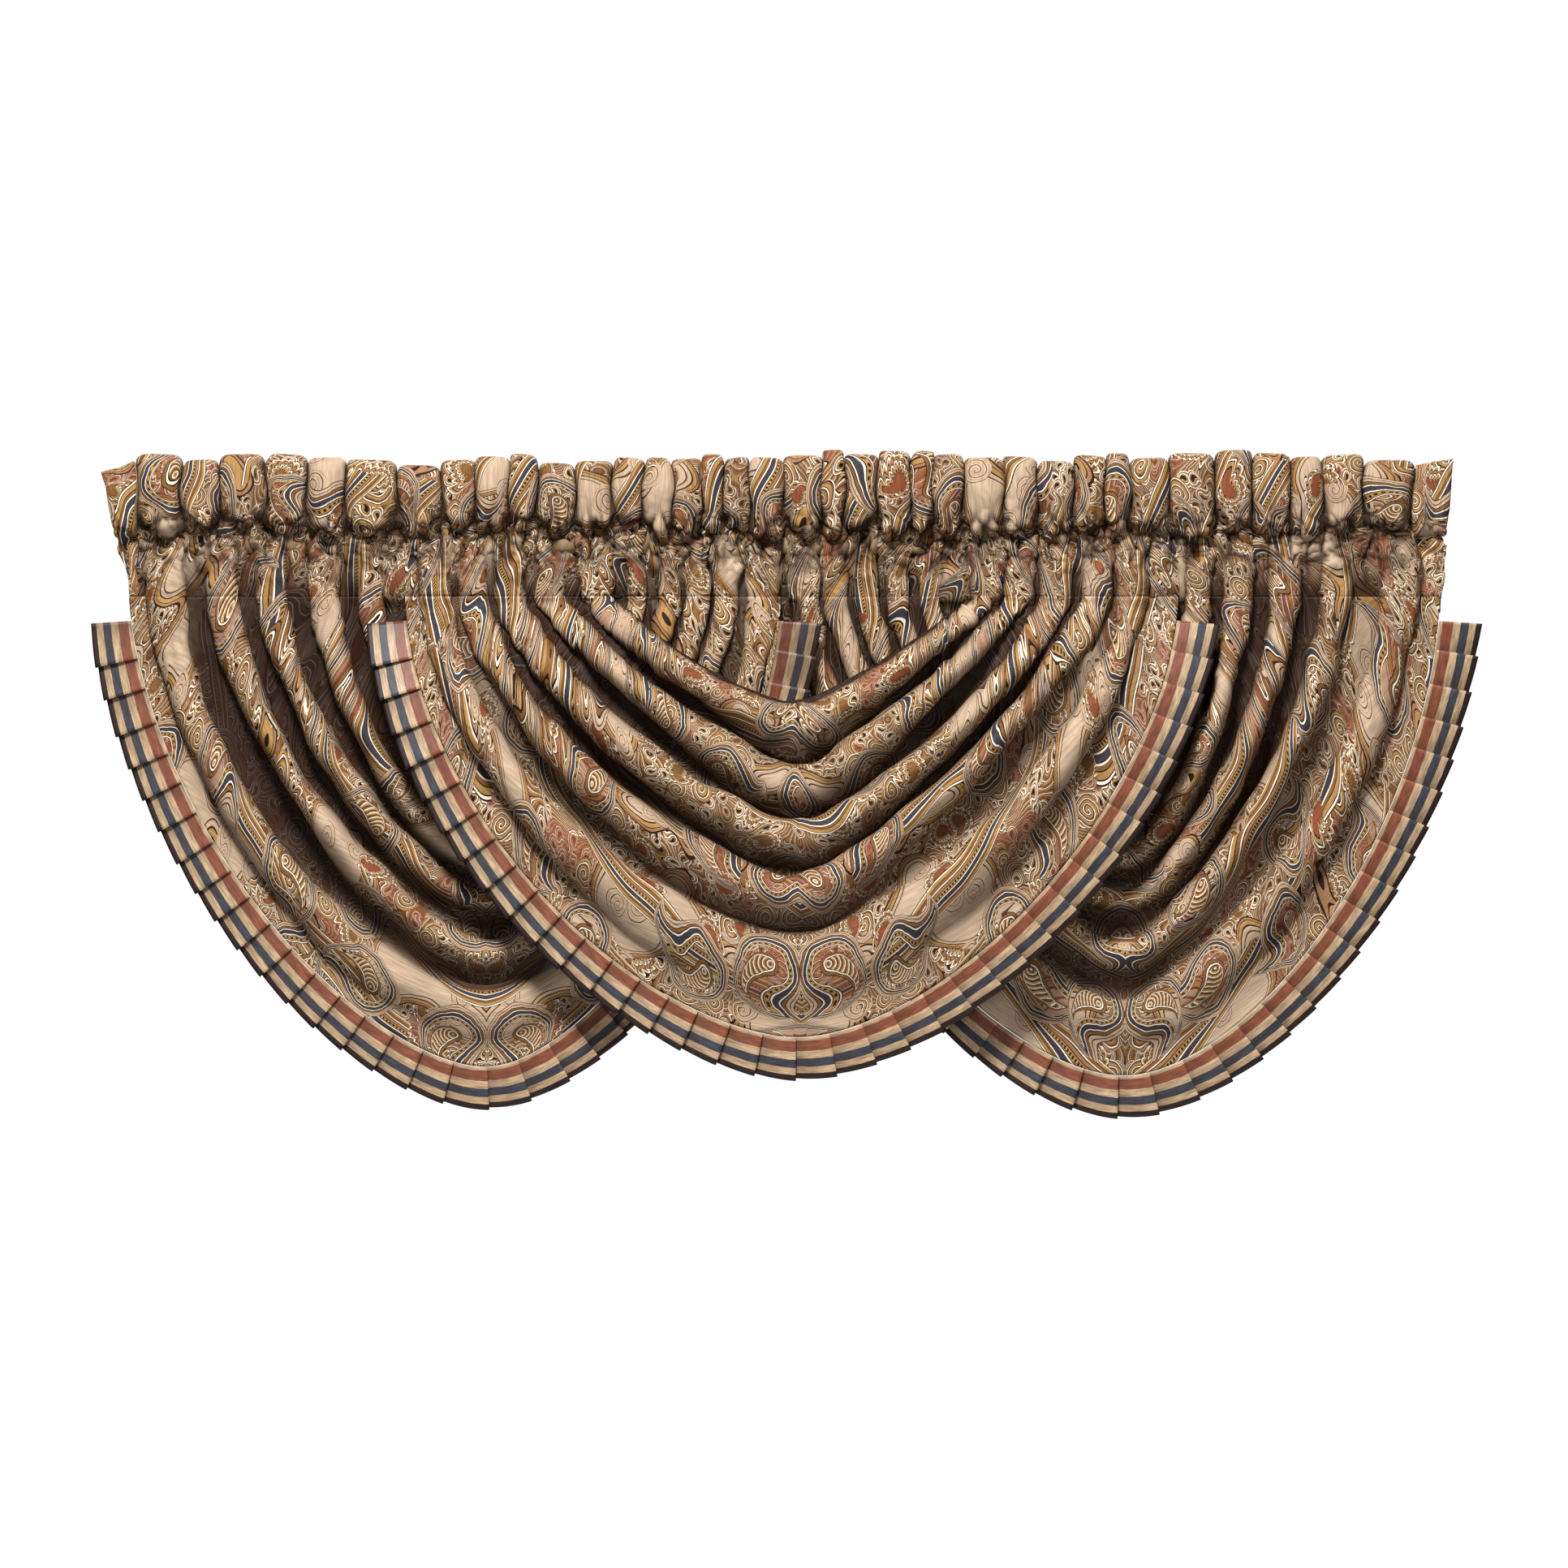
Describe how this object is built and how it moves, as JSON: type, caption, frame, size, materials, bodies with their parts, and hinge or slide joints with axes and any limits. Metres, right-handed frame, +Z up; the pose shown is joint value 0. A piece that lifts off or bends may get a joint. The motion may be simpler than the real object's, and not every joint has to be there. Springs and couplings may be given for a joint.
{
  "type": "waterfall valance",
  "caption": "Waterfall valance: gathered rod-pocket heading with overlapping cowl swags in paisley jacquard, edged with knife-pleated striped ribbon.",
  "frame": {"origin": "middle of the heading's top edge, on the centre plane of the rod pocket", "axes": "+X to the right along the heading seen from the front, +Y to the back towards the wall, +Z up; the front faces -Y"},
  "size_m": [1.249, 0.0962, 0.5999],
  "materials": {
    "jacquard": "woven jacquard in tan, gold, dark brown, cream, slate and rust, matt with a slight thread sheen",
    "ribbon": "striped woven ribbon in tan, rust, slate and dark brown, slight satin sheen"
  },
  "bodies": {
    "root": {"heading": "jacquard", "swag_left": "jacquard", "swag_centre": "jacquard", "swag_right": "jacquard", "trim_left": "ribbon", "trim_centre": "ribbon", "trim_right": "ribbon"}
  },
  "joints": []
}
